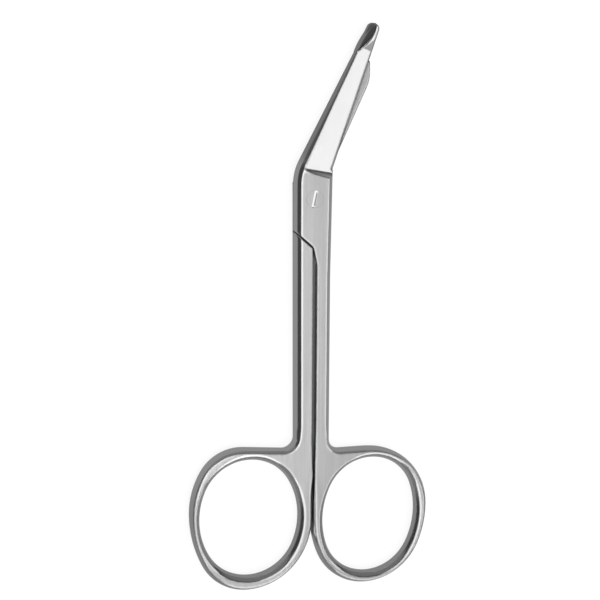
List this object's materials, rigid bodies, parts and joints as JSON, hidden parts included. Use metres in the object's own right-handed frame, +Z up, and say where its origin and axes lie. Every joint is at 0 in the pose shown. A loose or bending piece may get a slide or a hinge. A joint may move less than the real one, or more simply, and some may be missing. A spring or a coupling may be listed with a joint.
{
  "type": "bandage scissors",
  "caption": "Steel bandage scissors with angled blades, a smooth probe foot at the tip, a slotted pivot screw and oval finger bows.",
  "frame": {"origin": "on the pivot axis, at the plane the closed scissors rest on", "axes": "+Y from the finger bows to the tips, +Z up out of the resting plane, +X to the side the blades lean to"},
  "size_m": [0.0618, 0.141, 0.0052],
  "materials": {
    "probe_half_steel": "satin forging with mirror-ground blade",
    "blunt_half_steel": "satin forging with mirror-ground blade",
    "screw_steel": "satin"
  },
  "bodies": {
    "blunt_half": {"blunt_blade_half": "blunt_half_steel", "pivot_screw": "screw_steel"},
    "probe_half": {"probe_blade_half": "probe_half_steel"}
  },
  "joints": [
    {"name": "pivot", "type": "hinge", "parent": "blunt_half", "child": "probe_half", "pos_m": [0, 0, 0.0026], "axis": [0, 0, 1], "range_deg": [0, 110]}
  ]
}
